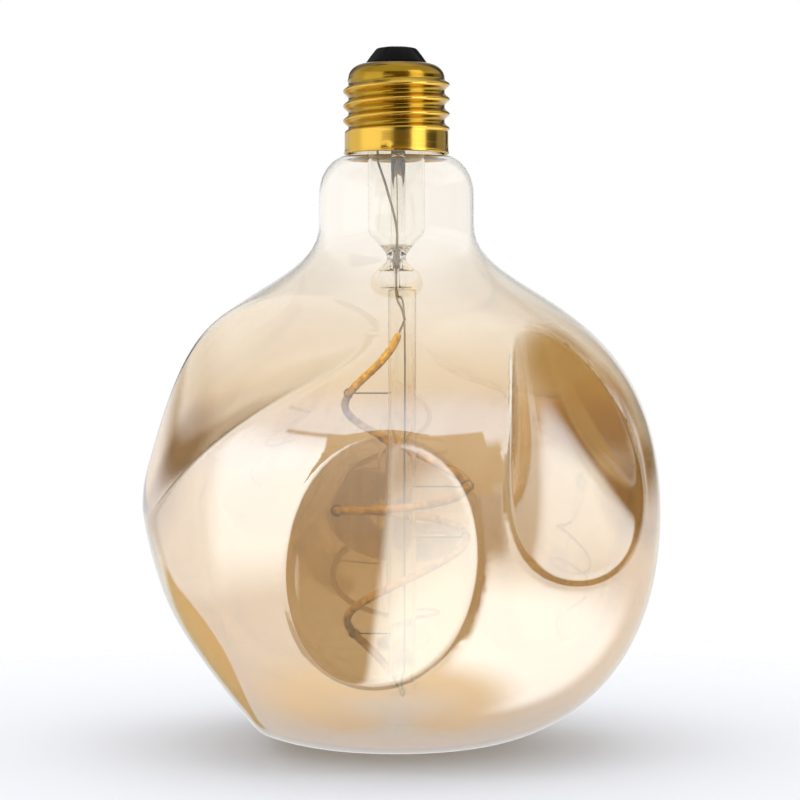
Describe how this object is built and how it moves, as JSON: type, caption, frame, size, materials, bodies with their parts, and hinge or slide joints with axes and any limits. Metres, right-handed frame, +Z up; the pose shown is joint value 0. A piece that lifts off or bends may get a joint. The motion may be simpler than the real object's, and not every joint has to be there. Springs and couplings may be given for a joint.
{
  "type": "light bulb",
  "caption": "LED filament light bulb: dented half-mirror amber glass globe with a clear neck, brass E27 screw cap, and a spiral filament on a glass stem inside.",
  "frame": {"origin": "middle of the flat glass base", "axes": "+Z up along the bulb's axis to the contact in the cap; -Y is the front, with the lowest of the seen dents"},
  "size_m": [0.1277, 0.1267, 0.1704],
  "materials": {
    "coated_glass": "half-mirror amber coating",
    "clear_glass": "clear",
    "brass": "polished",
    "black_glass": "gloss",
    "solder": "satin",
    "cement": "matt",
    "phosphor": "satin silicone",
    "nickel": "drawn wire",
    "circuit_board": "solder mask",
    "moulded_epoxy": "matt",
    "shrink_sleeve": "gloss",
    "ceramic": "matt",
    "ferrite": "matt",
    "wire_insulation": "satin"
  },
  "bodies": {
    "root": {"glass_envelope": "coated_glass", "cap_shell": "brass", "cap_insulator": "black_glass", "centre_contact": "solder", "cap_cement": "cement", "stem_flare": "clear_glass", "exhaust_tube": "clear_glass", "support_tube": "clear_glass", "lead_wire_live": "nickel", "lead_wire_return": "nickel", "led_filament": "phosphor", "filament_tab_top": "nickel", "filament_tab_bottom": "nickel", "support_hook_1": "nickel", "support_hook_2": "nickel", "support_hook_3": "nickel", "support_hook_4": "nickel", "support_hook_5": "nickel", "driver_board": "circuit_board", "bridge_rectifier": "moulded_epoxy", "driver_chip": "moulded_epoxy", "radio_module": "circuit_board", "smoothing_capacitor": "shrink_sleeve", "choke": "ferrite", "fuse_resistor": "ceramic", "live_wire": "wire_insulation", "neutral_wire": "wire_insulation"}
  },
  "joints": []
}
